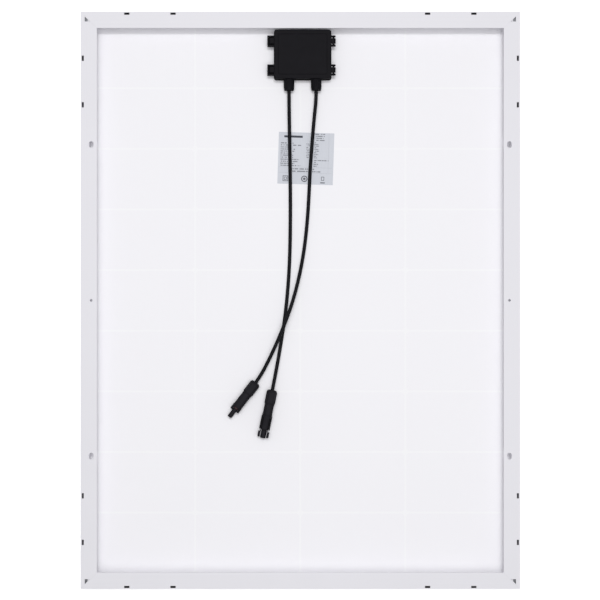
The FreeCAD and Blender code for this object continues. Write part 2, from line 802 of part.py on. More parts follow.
def make_box_base():
    """The base: a foot plate, four walls, two threaded spigots, hinge pins and latch guards."""
    foot = rounded_block(new_body(), "box_width / 2", "box_length / 2", "box_bottom",
                         "box_bottom + box_foot", "box_corner")
    inner = ("(box_width / 2 - box_step - box_wall)", "(box_length / 2 - box_step - box_wall)")
    walls = rounded_block(new_body(), "box_width / 2 - box_step", "box_length / 2 - box_step",
                          "box_bottom + box_foot", "box_wall_top", "box_corner - box_step / 2")
    hollow = rectangle(sketch_on(walls, "XY", "box_wall_top"), (f"-{inner[0]}", f"-{inner[1]}"), inner)
    pocket(hollow, "box_wall_top - box_bottom - box_foot")
    wall_across = "(box_width / 2 - box_step - box_wall / 2)"
    front = "(box_length / 2 - box_step)"
    pieces = [foot, walls]
    bores = [block(("-lead_slot_length / 2", "lead_rise - box_along - lead_slot_width / 2", "box_bottom"),
                   ("lead_slot_length / 2", "lead_rise - box_along + lead_slot_width / 2",
                    "box_bottom + box_foot"))]
    for side in ("-", ""):
        across = f"{side}gland_pitch / 2"
        mouth = f"-{front} - spigot_length"
        pieces.append(rod((across, mouth, "gland_height"), "spigot_radius",
                          "spigot_length + box_wall / 2", "y"))
        bores.append(rod((across, mouth, "gland_height"), "seal_bore_radius", "seal_bore_depth", "y"))
        bores.append(rod((across, mouth, "gland_height"), "cable_bore_radius", "spigot_length + box_wall", "y"))
    for step in (-1, 0, 1):
        place = f"{step} * lead_pitch"
        half = "(rail_width / 2 - pedestal_side)"
        pieces.append(block((f"{place} - {half}", "rail_start - box_along + pedestal_end", "box_bottom"),
                            (f"{place} + {half}", "rail_end - box_along - pedestal_end", "pedestal_top")))
    for low, high in cheek_spans():
        pieces.append(rod(("hinge_across", low, "hinge_height"), "hinge_eye_radius", "cheek", "y"))
        pieces.append(block((wall_across, low, "hinge_height - hinge_eye_radius"),
                            ("hinge_across", high, "box_wall_top")))
        pieces.append(block(("-latch_reach", low, "latch_bottom"), (f"-{wall_across}", high, "box_wall_top")))
    for low, high in lug_spans("lug_length"):
        pieces.append(rod(("hinge_across", low, "hinge_height"), "hinge_pin_radius", "lug_length", "y"))
        pieces.append(block(("-latch_reach", low, "latch_bottom + latch_slot"),
                            ("-latch_reach + latch_bar", high, "box_wall_top")))
        pieces.append(block(("-latch_reach", low, "latch_bottom - latch_floor"),
                            (f"-{wall_across}", high, "latch_bottom")))
    set_in_box(less(fused(pieces), bores), "junction_box_base")


def make_box_lid():
    """The lid: a plate with a raised panel, a rim, two hinge hooks and two latch tongues."""
    half = ("(box_width / 2 - lid_inset)", "(box_length / 2 - lid_inset)")
    plate_top = "lid_bottom + lid_plate"
    plate = rounded_block(new_body(), half[0], half[1], "lid_bottom", plate_top, "box_corner")
    middle_of_plate = sheet.get("lid_bottom") + sheet.get("lid_plate") / 2
    softened(plate, "Chamfer", "lid_panel", above(middle_of_plate))
    panel = rounded_block(new_body(), f"{half[0]} - lid_panel_inset", f"{half[1]} - lid_panel_inset",
                          plate_top, f"{plate_top} + lid_panel", "lid_panel_corner")
    middle_of_panel = middle_of_plate + (sheet.get("lid_plate") + sheet.get("lid_panel")) / 2
    softened(panel, "Chamfer", "lid_panel_bevel", above(middle_of_panel))
    rim_out = [f"({size} / 2 - box_step - box_wall - lid_rim_gap)" for size in ("box_width", "box_length")]
    rim_in = [f"({size} - lid_rim_wall)" for size in rim_out]
    rim = new_body()
    ring = rectangle(sketch_on(rim, "XY", "lid_bottom - lid_rim_depth"), (f"-{rim_out[0]}", f"-{rim_out[1]}"),
                     rim_out)
    rectangle(ring, (f"-{rim_in[0]}", f"-{rim_in[1]}"), rim_in)
    pad(ring, "lid_rim_depth")
    pieces = [plate, panel, rim]
    cuts = []
    lug_top = f"{plate_top} - lid_panel"
    for low, high in lug_spans("hinge_eye_length"):
        pieces.append(rod(("hinge_across", low, "hinge_height"), "hinge_eye_radius", "hinge_eye_length", "y"))
        pieces.append(block((f"{half[0]} - lid_overlap", low, "lid_bottom"), ("hinge_across", high, lug_top)))
        pieces.append(block(("hinge_across - hinge_eye_radius", low, "hinge_height + hook_root"),
                            ("hinge_across", high, "lid_bottom")))
        cuts.append(rod(("hinge_across", low, "hinge_height"), "hinge_pin_radius + hinge_clearance",
                        "hinge_eye_length", "y"))
        cuts.append(block(("hinge_across", low, "hinge_height - hinge_eye_radius - overcut"),
                          ("hinge_across + hinge_mouth", high, "hinge_height")))
    for low, high in lug_spans("latch_tongue_width"):
        tongue = "-latch_tongue_reach"
        tip = "latch_bottom + tongue_clearance"
        pieces.append(block((tongue, low, tip), (f"{tongue} + latch_tongue_wall", high, lug_top)))
        pieces.append(block((tongue, low, "lid_bottom"), (f"-{half[0]} + lid_overlap", high, lug_top)))
        pieces.append(block((f"{tongue} - latch_barb", low, tip), (tongue, high, f"{tip} + latch_barb_height")))
    set_in_box(less(fused(pieces), cuts), "junction_box_lid")


def make_box_seals():
    halves = ("box_width / 2 - box_step", "box_length / 2 - box_step")
    outer = [f"({half} - gasket_inset)" for half in halves]
    inner = [f"({half} - box_wall + gasket_inset)" for half in halves]
    gasket = rounded_block(new_body(), outer[0], outer[1], "box_wall_top", "box_wall_top + gasket_thickness",
                           "box_corner - box_step")
    hollow = rectangle(sketch_on(gasket, "XY", "box_wall_top + gasket_thickness"),
                       (f"-{inner[0]}", f"-{inner[1]}"), inner)
    pocket(hollow, "gasket_thickness")
    set_in_box(gasket, "lid_gasket")
    pad_body = rounded_block(new_body(), "box_width / 2 - adhesive_inset", "box_length / 2 - adhesive_inset",
                             SHEET_TOP, "box_bottom", "box_corner")
    slot = rectangle(sketch_on(pad_body, "XY", "box_bottom"),
                     ("-lead_slot_length / 2", "lead_rise - box_along - lead_slot_width / 2"),
                     ("lead_slot_length / 2", "lead_rise - box_along + lead_slot_width / 2"))
    pocket(slot, f"box_bottom - {SHEET_TOP}")
    set_in_box(pad_body, "box_adhesive")


def make_box_contacts():
    """Three contact rails on pedestals, and a bypass diode between each pair."""
    for name, place in zip(("left", "middle", "right"), lead_places()):
        strip_solid = block((f"{place} - rail_width / 2", "rail_start", "pedestal_top"),
                            (f"{place} + rail_width / 2", "rail_end", "pedestal_top + rail_thickness"))
        node(strip_solid, f"contact_rail_{name}")
    height = "pedestal_top + rail_thickness + diode_wire_radius"
    for name, side in (("left", "-"), ("right", "+")):
        end = "diode_length / 2"
        half = "diode_body / 2"
        diode = revolved([(f"-{end}", "0"), (f"-{end}", "diode_wire_radius"), (f"-{half}", "diode_wire_radius"),
                          (f"-{half}", "diode_radius"), (half, "diode_radius"), (half, "diode_wire_radius"),
                          (end, "diode_wire_radius"), (end, "0")])
        bind(diode, x=f"box_across {side} lead_pitch / 2", y="diode_along", z=height)
        node(diode, f"bypass_diode_{name}")


def make_gland(name, across):
    """A gland at the front wall: its nut, its rubber seal and the end of the cable inside the box."""
    height = "gland_height"
    inner = "spigot_radius + gland_clearance"
    nut = revolved([("0", inner), ("0", "gland_nut_radius"), ("gland_nut_grip", "gland_nut_radius"),
                    ("gland_nut_length", "gland_nut_end_radius"), ("gland_nut_length", "coupling_mouth"),
                    ("gland_nut_length - gland_mouth_length", "coupling_mouth"),
                    ("gland_nut_grip + gland_step", inner)])
    flute = sketch_on(nut, "YZ", "gland_nut_grip")
    circle(flute, ("0", "gland_nut_radius + gland_flute_radius / 2"), "gland_flute_radius")
    around(nut, pocket(flute, "gland_nut_grip - gland_flute_end"), "gland_flutes")
    node(bind(turned(nut, -90), x=across, y="gland_nut_face", z=height), f"gland_nut_{name}")
    mouth = "(box_along - box_length / 2 + box_step - spigot_length)"
    rubber = rod((across, f"{mouth} + seal_inset", height), "seal_bore_radius - fit_gap",
                 "seal_bore_depth - 2 * seal_inset", "y")
    seal = less(rubber, [rod((across, mouth, height), "cable_diameter / 2 + fit_gap", "seal_bore_depth", "y")])
    node(seal, f"gland_seal_{name}")
    node(rod((across, "tube_start", height), "cable_diameter / 2", "stub_start - tube_start", "y"),
         f"cable_stub_{name}")
    node(rod((across, "stub_start", height), "core_diameter / 2", "core_start - stub_start", "y"),
         f"cable_core_{name}")


def make_junction_box():
    make_box_base()
    make_box_lid()
    make_box_seals()
    make_box_contacts()
    make_gland("left", "(box_across - gland_pitch / 2)")
    make_gland("right", "(box_across + gland_pitch / 2)")


# ---- connectors, in a frame whose X axis runs from the cable entry to the tip ----

def set_on_cable(thing, kind, label):
    bind(turned(thing, f"{kind}_turn"), x=f"{kind}_across", y=f"{kind}_along", z="connector_height")
    return node(thing, label)


REAR_OUTSIDE = [("thread_start", "connector_seal_radius"), ("thread_start", "thread_radius"),
                ("body_start", "thread_radius"), ("body_start", "body_radius")]
REAR_INSIDE = [("cable_stop", "contact_bore"), ("cable_stop", "cable_bore_radius"),
               ("cable_seal_end", "cable_bore_radius"), ("cable_seal_end", "connector_seal_radius")]


def flats(body, start, end, distance, count):
    """Cut flats round a turned body, between two places along it."""
    cutter = sketch_on(body, "YZ", end)
    rectangle(cutter, (f"-{distance}", distance), (distance, f"{distance} + flat_reach"))
    around(body, pocket(cutter, f"{end} - {start}"), count)


def make_connector_rear(kind):
    """The pieces both connectors share: the coupling nut and the seal that it squeezes on the cable."""
    nut = revolved([("0", "coupling_mouth"), ("0", "coupling_nut_back"),
                    ("coupling_nut_dome / 3", "coupling_nut_shoulder"),
                    ("coupling_nut_dome", "coupling_nut_radius"),
                    ("coupling_nut_length", "coupling_nut_radius"), ("coupling_nut_length", "coupling_cavity"),
                    ("coupling_cavity_start", "coupling_cavity"),
                    ("coupling_cavity_start - coupling_cavity_cone", "coupling_mouth")])
    flats(nut, "coupling_nut_dome", "coupling_nut_length - coupling_nut_rim", "coupling_nut_flat", 6)
    set_on_cable(nut, kind, f"{kind}_coupling_nut")
    start = "thread_start + connector_seal_inset"
    end = "cable_seal_end - connector_seal_inset"
    inner = "cable_diameter / 2 + fit_gap"
    outer = "connector_seal_radius - fit_gap"
    seal = revolved([(start, inner), (start, outer), (end, outer), (end, inner)])
    set_on_cable(seal, kind, f"{kind}_cable_seal")


def make_female_connector():
    """The connector with a socket contact in a slim nose, inside a shroud with two windows."""
    make_connector_rear("female")
    housing = revolved(REAR_OUTSIDE + [
        ("female_shroud_end", "body_radius"), ("female_shroud_end", "female_shroud_bore"),
        ("female_shroud_floor", "female_shroud_bore"), ("female_shroud_floor", "nose_radius"),
        ("nose_end", "nose_radius"), ("nose_end", "contact_bore")] + REAR_INSIDE)
    flats(housing, "body_start + flat_end", "female_shroud_floor - flat_end", "body_flat", "body_flats")
    for level in ("body_radius + overcut", "-nose_radius - nose_gap"):
        window = rectangle(sketch_on(housing, "XY", level),
                           ("female_shroud_floor + window_start", "-female_window / 2"),
                           ("female_shroud_end + overcut", "female_window / 2"))
        pocket(window, "body_radius + overcut - nose_radius - nose_gap")
    set_on_cable(housing, "female", "female_connector_housing")
    contact = revolved([("cable_stop + fit_gap", "0"), ("cable_stop + fit_gap", "contact_radius"),
                        ("socket_end", "contact_radius"), ("socket_end", "socket_bore"),
                        ("socket_end - socket_depth", "socket_bore"), ("socket_end - socket_depth", "0")])
    set_on_cable(contact, "female", "socket_contact")
    start = "female_shroud_floor + ring_start"
    end = "female_shroud_floor + ring_length"
    ring = revolved([(start, "nose_radius + fit_gap"), (start, "ring_radius - ring_bevel"),
                     (f"{start} + ring_bevel", "ring_radius"), (f"{end} - ring_bevel", "ring_radius"),
                     (end, "ring_radius - ring_bevel"), (end, "nose_radius + fit_gap")])
    set_on_cable(ring, "female", "socket_seal_ring")


def make_male_connector():
    """The connector with a pin contact in a tube, between two sprung latch arms."""
    make_connector_rear("male")
    seam_end = "male_seam + male_seam_width"
    housing = revolved(REAR_OUTSIDE + [
        ("male_seam", "body_radius"), ("male_seam", "body_radius - male_seam_depth"),
        (seam_end, "body_radius - male_seam_depth"), (seam_end, "male_front_radius"),
        ("male_front_end - male_front_bevel", "male_front_radius"),
        ("male_front_end", "male_front_radius - male_front_bevel"), ("male_front_end", "male_tube_radius"),
        ("male_tube_end", "male_tube_radius"), ("male_tube_end", "male_tube_bore"),
        ("male_tube_floor", "male_tube_bore"), ("male_tube_floor", "contact_bore")] + REAR_INSIDE)
    flats(housing, "body_start + flat_end", "male_seam - flat_end", "body_flat", "body_flats")
    slots = sketch_on(housing, "XY", "male_front_radius + overcut")
    for side in ("-", ""):
        near = f"{side}arm_slot_inner"
        far = f"{side}arm_slot_outer"
        rectangle(slots, ("arm_slot_start", near), ("male_front_end + overcut", far))
    pocket(slots, "male_front_radius + overcut + arm_slot_floor")
    set_on_cable(housing, "male", "male_connector_housing")
    contact = revolved([("cable_stop + fit_gap", "0"), ("cable_stop + fit_gap", "contact_radius"),
                        ("male_tube_floor + pin_shoulder", "contact_radius"),
                        ("male_tube_floor + pin_shoulder", "pin_radius"), ("pin_end - pin_taper", "pin_radius"),
                        ("pin_end", "pin_radius / 2"), ("pin_end", "0")])
    set_on_cable(contact, "male", "pin_contact")
    for name, side in (("left", "-"), ("right", "")):
        arm = new_body()
        shape = sketch_on(arm, "XY", "-arm_height / 2")
        outline(shape, [("arm_start", f"{side}arm_inner"), ("arm_tip", f"{side}arm_inner"),
                        ("arm_tip", f"{side}(barb_reach - barb_bevel)"),
                        ("arm_tip - barb_bevel", f"{side}barb_reach"), ("barb_start", f"{side}barb_reach"),
                        ("barb_start", f"{side}arm_outer"), ("arm_start", f"{side}arm_outer")])
        pad(shape, "arm_height")
        set_on_cable(arm, "male", f"latch_arm_{name}")


# ---- cables ----

def cable_tube(label, route):
    """A tube along straight runs joined by arcs as large as their two runs allow."""
    radius = sheet.get("cable_diameter") / 2
    points = [FreeCAD.Vector(*place) for place in route]
    edges = []
    radii = []
    start = points[0]
    for before, corner, after in zip(points, points[1:], points[2:]):
        inward = (before - corner).normalize()
        outward = (after - corner).normalize()
        half_turn = (math.pi - inward.getAngle(outward)) / 2
        reach = ARC_SHARE * min(before.distanceToPoint(corner), corner.distanceToPoint(after))
        bend = reach / math.tan(half_turn)
        radii.append(bend)
        centre = corner + (inward + outward).normalize() * (bend / math.cos(half_turn))
        middle = centre + (corner - centre).normalize() * bend
        arc_start = corner + inward * reach
        arc_end = corner + outward * reach
        edges.append(Part.LineSegment(start, arc_start).toShape())
        edges.append(Part.Arc(arc_start, middle, arc_end).toShape())
        start = arc_end
    edges.append(Part.LineSegment(start, points[-1]).toShape())
    path = Part.Wire(edges)
    profile = Part.Wire([Part.Circle(points[0], points[1] - points[0], radius).toShape()])
    tube = path.makePipeShell([profile], True, False)
    volume = math.pi * radius ** 2 * path.Length
    print(f"{label}: {path.Length:.1f} mm long, radii {min(radii):.0f} to {max(radii):.0f} mm, "
          f"volume {tube.Volume / volume:.4f} of section times length, lowest {tube.BoundBox.ZMin:.2f}")
    solid_feature(tube, label)


make_frame()
make_laminate()
make_junction_box()
make_female_connector()
make_male_connector()
cable_tube("cable_left", LEFT_CABLE_ROUTE)
cable_tube("cable_right", RIGHT_CABLE_ROUTE)
doc.recompute()

for thing in doc.Objects:
    if "Invalid" in thing.State or "Error" in thing.State:
        raise RuntimeError(f"{thing.Label} ({thing.TypeId}) failed: {thing.State}")
    if thing.TypeId == "PartDesign::Pocket":
        before = thing.BaseFeature.Shape.Volume
        if thing.Shape.Volume > before - LEAST_CUT:
            raise RuntimeError(f"{thing.Name} cuts nothing")
os.makedirs("parts", exist_ok=True)
for thing in NODES:
    shape = thing.Shape
    if shape.isNull() or not shape.isValid() or not shape.Solids:
        raise RuntimeError(f"{thing.Label} has no valid solid")
for thing in NODES:
    thing.Shape.exportStep(f"parts/{thing.Label}.step")
print(f"{len(NODES)} sub-parts written")
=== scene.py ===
# %% [markdown]
# # A small framed solar panel, lying face down
#
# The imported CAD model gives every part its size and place: a mitred aluminium frame round a glass
# laminate, a junction box, two cables and their plug connectors. This lesson keeps that frame as
# it is and adds what CAD leaves out: two cables that lie in smooth curves, edges that catch the
# light, and a finish for each material.

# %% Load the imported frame
import json
import math

import bmesh
import bpy
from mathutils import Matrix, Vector

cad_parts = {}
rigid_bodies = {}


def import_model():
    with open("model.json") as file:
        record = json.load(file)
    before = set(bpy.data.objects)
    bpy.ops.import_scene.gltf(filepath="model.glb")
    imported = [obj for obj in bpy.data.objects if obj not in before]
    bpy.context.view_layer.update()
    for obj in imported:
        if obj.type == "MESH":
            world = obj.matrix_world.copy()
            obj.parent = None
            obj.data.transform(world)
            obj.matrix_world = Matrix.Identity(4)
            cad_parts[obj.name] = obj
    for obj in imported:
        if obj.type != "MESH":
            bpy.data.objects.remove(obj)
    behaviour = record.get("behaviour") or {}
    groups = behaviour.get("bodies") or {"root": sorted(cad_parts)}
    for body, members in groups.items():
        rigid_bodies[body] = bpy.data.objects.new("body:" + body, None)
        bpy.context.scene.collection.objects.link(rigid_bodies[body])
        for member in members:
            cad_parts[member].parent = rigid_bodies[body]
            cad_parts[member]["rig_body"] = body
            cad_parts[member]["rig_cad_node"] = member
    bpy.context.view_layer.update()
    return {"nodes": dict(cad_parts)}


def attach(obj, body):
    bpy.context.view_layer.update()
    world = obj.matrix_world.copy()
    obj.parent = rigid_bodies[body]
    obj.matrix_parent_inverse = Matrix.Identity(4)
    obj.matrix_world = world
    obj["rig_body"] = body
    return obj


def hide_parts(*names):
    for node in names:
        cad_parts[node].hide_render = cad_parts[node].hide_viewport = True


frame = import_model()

MM = 0.001

# %% [markdown]
# ## Camera
#
# A rear view of a panel is taken straight down, from far enough away that the frame's inner walls
# hardly show. A short telephoto lens at about two metres does that. A wide lens close by would
# also fit the panel in, but it would show the walls and the box's sides leaning outwards.

# %% Place the camera over the panel
LENS = 85
CAMERA_HEIGHT = 2.189
OFF_CENTRE = 0.5 * MM

camera = bpy.data.objects.new("camera", bpy.data.cameras.new("camera"))
camera.data.lens = LENS
camera.location = (-OFF_CENTRE, OFF_CENTRE, CAMERA_HEIGHT)
bpy.context.scene.collection.objects.link(camera)
bpy.context.scene.camera = camera

# %% [markdown]
# ## The two cables
#
# Each cable is half a metre of round, fairly stiff solar cable. It leaves its gland level, sinks
# onto the backsheet, and rises again into its connector, which is thicker and holds its end up.
# The right cable passes over the left one on its way. A bent cable has no corners, so its line is
# a NURBS curve, which stays smooth whatever the control points are; a poly line with rounded
# corners would look like bent wire.

# %% Lay the cables
CABLE_DIAMETER = 5.4 * MM
LEFT_ROUTE = [
    (-17.3, 330, 15.5), (-17.3, 303, 15.4), (-16.8, 270, 12.4), (-16.1, 228, 9.5),
    (-15.4, 182, 9.4), (-15.2, 128, 9.4), (-15.9, 74, 9.4), (-18.2, 28, 9.4),
    (-22.6, -19, 9.4), (-29.4, -64, 9.4), (-35.1, -97, 12.2), (-41.35, -130.35, 15.1),
    (-47.33, -159.45, 15.1),
]
RIGHT_ROUTE = [
    (24.4, 330, 15.5), (24.4, 308, 15.5), (21.4, 282, 14.2), (18.3, 244, 10.2),
    (15.1, 203, 9.4), (13.4, 163, 9.4), (10.9, 122, 9.4), (6.6, 82, 9.5),
    (0.6, 47, 11.8), (-6.6, 16, 16.8), (-15.2, -13, 20.1), (-31, -54, 20.1),
    (-48.6, -92.5, 16.7), (-63.9, -121, 15.1), (-81.27, -143.25, 15.1),
]


def lay_cable(name, route):
    """One round cable along a smooth line through its route's control points."""
    line = bpy.data.curves.new(name, "CURVE")
    line.dimensions = "3D"
    line.bevel_depth = 1.0
    line.bevel_resolution = 6
    line.resolution_u = 16
    line.use_fill_caps = True
    spline = line.splines.new("NURBS")
    spline.points.add(len(route) - 1)
    for point, place in zip(spline.points, route):
        point.co = (*(Vector(place) * MM), 1)
        point.radius = CABLE_DIAMETER / 2
    spline.order_u = 3
    spline.use_endpoint_u = True
    cable = bpy.data.objects.new(name, line)
    bpy.context.scene.collection.objects.link(cable)
    return cable


def measured_length(cable):
    """The length of a cable's smooth line, added up over the points that Blender draws it with."""
    bare = cable.data.copy()
    bare.bevel_depth = 0
    line = bpy.data.objects.new("measure", bare)
    bpy.context.scene.collection.objects.link(line)
    bpy.context.view_layer.update()
    drawn = line.evaluated_get(bpy.context.evaluated_depsgraph_get())
    mesh = bpy.data.meshes.new_from_object(drawn)
    places = [point.co for point in mesh.vertices]
    bpy.data.objects.remove(line)
    bpy.data.curves.remove(bare)
    bpy.data.meshes.remove(mesh)
    return sum((b - a).length for a, b in zip(places, places[1:]))


cables, lengths = {}, {}
for side, route in (("left", LEFT_ROUTE), ("right", RIGHT_ROUTE)):
    cables[side] = lay_cable(f"solar_cable_{side}", route)
    lengths[side] = measured_length(cables[side])
    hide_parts(f"cable_{side}")
    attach(cables[side], "panel")
    print(f"{cables[side].name}: {lengths[side] / MM:.1f} mm")

# %% [markdown]
# ## Softer edges
#
# Extruded aluminium and moulded plastic have no razor edges: the die or the mould leaves a small
# radius, and that is what catches the light and shows where two parts meet. The CAD parts are
# sharp. A bevel in the shader would only tilt the light, so each part that shows is rebuilt here:
# its flat faces are merged, then every sharp edge gets a narrow two-step bevel. The new piece
# stands for the CAD node and rides on the same body.

# %% Rebuild the parts that show, with softened edges
SHARP = math.radians(32)
SAME_PLANE = math.radians(1)
SAME_PLACE = 0.002 * MM


def soften(name, width):
    """A copy of a CAD node in which every sharp edge is bevelled by that width, in millimetres."""
    node = frame["nodes"][name]
    body = bmesh.new()
    body.from_mesh(node.data)
    bmesh.ops.remove_doubles(body, verts=body.verts, dist=SAME_PLACE)
    bmesh.ops.dissolve_limit(body, angle_limit=SAME_PLANE, verts=body.verts, edges=body.edges)
    sharp = [edge for edge in body.edges
             if len(edge.link_faces) == 2 and edge.calc_face_angle(0) > SHARP]
    bmesh.ops.bevel(body, geom=sharp, offset=width * MM, offset_type="OFFSET", segments=2,
                    profile=0.5, affect="EDGES", clamp_overlap=False)
    bmesh.ops.remove_doubles(body, verts=body.verts, dist=SAME_PLACE)
    mesh = bpy.data.meshes.new(f"soft_{name}")
    body.to_mesh(mesh)
    body.free()
    mesh.shade_smooth()
    piece = bpy.data.objects.new(f"soft_{name}", mesh)
    piece.modifiers.new("flat_faces_stay_flat", "WEIGHTED_NORMAL").mode = "FACE_AREA"
    bpy.context.scene.collection.objects.link(piece)
    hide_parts(name)
    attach(piece, node["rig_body"])
    return piece


SAWN_EDGE = 0.15
PLUG_EDGE = 0.15
NUT_EDGE = 0.2
BOX_EDGE = 0.3
LID_EDGE = 0.35
SOFT_EDGES = {
    "long_rail_left": SAWN_EDGE, "long_rail_right": SAWN_EDGE,
    "short_rail_top": SAWN_EDGE, "short_rail_bottom": SAWN_EDGE,
    "junction_box_base": BOX_EDGE, "junction_box_lid": LID_EDGE,
    "gland_nut_left": NUT_EDGE, "gland_nut_right": NUT_EDGE,
    "female_coupling_nut": NUT_EDGE, "female_connector_housing": PLUG_EDGE,
    "male_coupling_nut": NUT_EDGE, "male_connector_housing": PLUG_EDGE,
    "latch_arm_left": PLUG_EDGE, "latch_arm_right": PLUG_EDGE,
}
pieces = {name: soften(name, width) for name, width in SOFT_EDGES.items()}
for name, piece in pieces.items():
    loose = sum(1 for edge in piece.data.edges if edge.is_loose)
    print(f"{piece.name}: {len(piece.data.polygons)} faces, {loose} loose edges")

# %% [markdown]
# ## What each cable carries
#
# A cable is sold by its length, its diameter and its plug. The left cable ends in the pin connector
# and the right one in the socket connector.

print("cords declared:", *cables)

# %% [markdown]
# ## Shader sums written as Python
#
# A finish is mostly arithmetic on the place of each point: which row of cells it is behind, how
# far along a rail it lies. Wiring a Math node by hand for every plus and minus hides that
# arithmetic, so one small class wraps a socket and adds the nodes when the sum is written. Every
# other node, such as a noise or a bump, comes from its one general method, which sets a node up
# first and then fills in its sockets.

# %% A socket that can stand in a sum
class Sum:
    """A node's output that works with + - * / and %, and can start any other node."""

    def __init__(self, socket):
        self.socket = socket

    def node(self, kind, settings, inputs, output=0):
        """Adds a node of this kind. A ramp's stops are given as (position, colour) pairs."""
        tree = self.socket.id_data
        made = tree.nodes.new(f"ShaderNode{kind}")
        for name, value in settings.items():
            if name == "stops":
                ramp = made.color_ramp.elements
                while len(ramp) < len(value):
                    ramp.new(0)
                for stop, (position, colour) in zip(ramp, value):
                    stop.position, stop.color = position, colour
            else:
                setattr(made, name, value)
        for place, value in inputs.items():
            if isinstance(value, Sum):
                tree.links.new(value.socket, made.inputs[place])
            else:
                made.inputs[place].default_value = value
        return Sum(made.outputs[output])

    def maths(self, operation, *values):
        return self.node("Math", {"operation": operation}, dict(enumerate(values)))

    def __add__(self, other):
        return self.maths("ADD", self, other)

    def __sub__(self, other):
        return self.maths("SUBTRACT", self, other)

    def __rsub__(self, other):
        return self.maths("SUBTRACT", other, self)

    def __mul__(self, other):
        return self.maths("MULTIPLY", self, other)

    def __truediv__(self, other):
        return self.maths("DIVIDE", self, other)

    def __mod__(self, other):
        return self.maths("FLOORED_MODULO", self, other)

    def __lt__(self, other):
        return self.maths("LESS_THAN", self, other)

    def __gt__(self, other):
        return self.maths("GREATER_THAN", self, other)

    def __abs__(self):
        return self.maths("ABSOLUTE", self)

    __radd__ = __add__
    __rmul__ = __mul__


print("sums ready for + - * / %, comparisons and abs")

# %% [markdown]
# ## Noise, relief and tones
#
# Every finish below is made of the same few things. A noise gives patches of a stated size,
# stretched where a process leaves lines. A bump turns them into relief of a stated depth, without
# adding faces to the mesh. Tones are written as ordinary 8-bit colours, because those are what a
# colour picker shows, and are turned into the linear values that a shader needs.

# %% Helpers that every finish uses
def split(vector):
    """The X, Y and Z of a vector socket."""
    return [vector.node("SeparateXYZ", {}, {0: vector}, axis) for axis in range(3)]


def mixed(share, colour, other):
    """One colour going over to the other as the share goes from 0 to 1."""
    return share.node("Mix", {"data_type": "RGBA"}, {0: share, 6: colour, 7: other}, 2)


def noise(place, size, detail=2.0, stretch=(1, 1, 1)):
    """Soft random patches of about that size in millimetres, stretched by these factors."""
    scaled = place.node("VectorMath", {"operation": "DIVIDE"}, {0: place, 1: stretch})
    scale = 1 / (size * MM)
    return place.node("TexNoise", {}, {"Vector": scaled, "Scale": scale, "Detail": detail})


def bump(height, depth):
    """A relief of that depth in millimetres for a height from 0 to 1."""
    return height.node("Bump", {}, {"Height": height, "Distance": depth * MM, "Strength": 1.0})


def tone(red, green, blue):
    """The linear colour of an ordinary 8-bit one."""
    shares = [value / 255 for value in (red, green, blue)]
    return (*[s / 12.92 if s < 0.04045 else ((s + 0.055) / 1.055) ** 2.4 for s in shares], 1)


def finish(name, even, look):
    """A material: even has the sockets that are the same all over, look(place) those that vary."""
    material = bpy.data.materials.new(name)
    material.use_nodes = True
    tree = material.node_tree
    shader = tree.nodes["Principled BSDF"]
    for socket, value in even.items():
        shader.inputs[socket].default_value = value
    place = Sum(tree.nodes.new("ShaderNodeTexCoord").outputs["Object"])
    for socket, value in look(place).items():
        tree.links.new(value.socket, shader.inputs[socket])
    print(f"{name}: {len(tree.nodes)} nodes")
    return material


def coat(material, slot, *objects):
    """Gives whole objects one material. The slot argument is not used."""
    for thing in objects:
        thing.data.materials.clear()
        thing.data.materials.append(material)


print("mid grey 128 is", round(tone(128, 128, 128)[0], 3), "in linear light")

# %% [markdown]
# ## Anodised aluminium
#
# The rails are extruded and then clear anodised, which leaves a pale, silky grey with very fine
# lines along the rail, a few of them deeper. The lines are noise stretched a thousandfold along
# the rail. They change the roughness more than the colour, because that is how the real surface
# shows them: as streaks in the reflection.

# %% Frame and corner keys
def anodised(along):
    """The look of an extrusion whose lines run along this stretch."""
    def look(place):
        lines = noise(place, 0.6, 3, along)
        patches = noise(place, 60, 2)
        shade = lines * 0.6 + patches * 0.4
        return {
            "Base Color": mixed(shade, tone(225, 224, 229), tone(236, 235, 240)),
            "Roughness": 0.54 + lines * 0.12 + patches * 0.06,
            "Normal": bump(lines, 0.004),
        }
    return look


ANODISED = {"Metallic": 0.1, "Specular IOR Level": 0.2}
long_grain = finish("anodised_long_rail", ANODISED, anodised((1, 1000, 1)))
short_grain = finish("anodised_short_rail", ANODISED, anodised((1000, 1, 1)))
coat(long_grain, "anodised_frame", pieces["long_rail_left"], pieces["long_rail_right"])
coat(short_grain, "anodised_frame", pieces["short_rail_top"], pieces["short_rail_bottom"])


# The corner keys' colour is darkened well below that of bare mill-finish aluminium. This is painted
# shade for the dark hollow inside each frame corner where a key sits; only the saw lines are the
# metal's own.
def sawn_key_with_painted_shade(place):
    saw = noise(place, 0.4, 2, (1, 1, 60))
    return {
        "Base Color": mixed(saw, tone(96, 97, 101), tone(128, 129, 133)),
        "Roughness": 0.4 + saw * 0.2,
        "Normal": bump(saw, 0.02),
    }


keys = [frame["nodes"][f"corner_key_{end}_{side}"]
        for end in ("top", "bottom") for side in ("left", "right")]
coat(finish("mill_finish_key_painted_shade", {"Metallic": 0.9}, sawn_key_with_painted_shade), "corner_key_aluminium", *keys)

# %% [markdown]
# ## Backsheet
#
# The white film on the rear is bonded over the cells, so their grid shows through it very
# faintly: the gaps between cells are a little whiter, and whitest at the crossings, where the
# cells' cut corners leave a small diamond. The film also ripples a little over the ribbons. Both
# follow from the cells' spacing, so they are worked out from the place of each point and not
# drawn.

# %% White film with the cells showing through
COLUMN = 161.75 * MM
ROW = 93.4 * MM
RIBBON_SPACING = 31.2 * MM
GAP = 1.6 * MM
DIAMOND = 5 * MM
COLUMNS = 4
ROWS = 9


def to_nearest(place, spacing, offset=0.0):
    """The distance from each point to the nearest of a row of evenly spaced lines."""
    return abs((place + (offset + spacing / 2)) % spacing - spacing / 2)


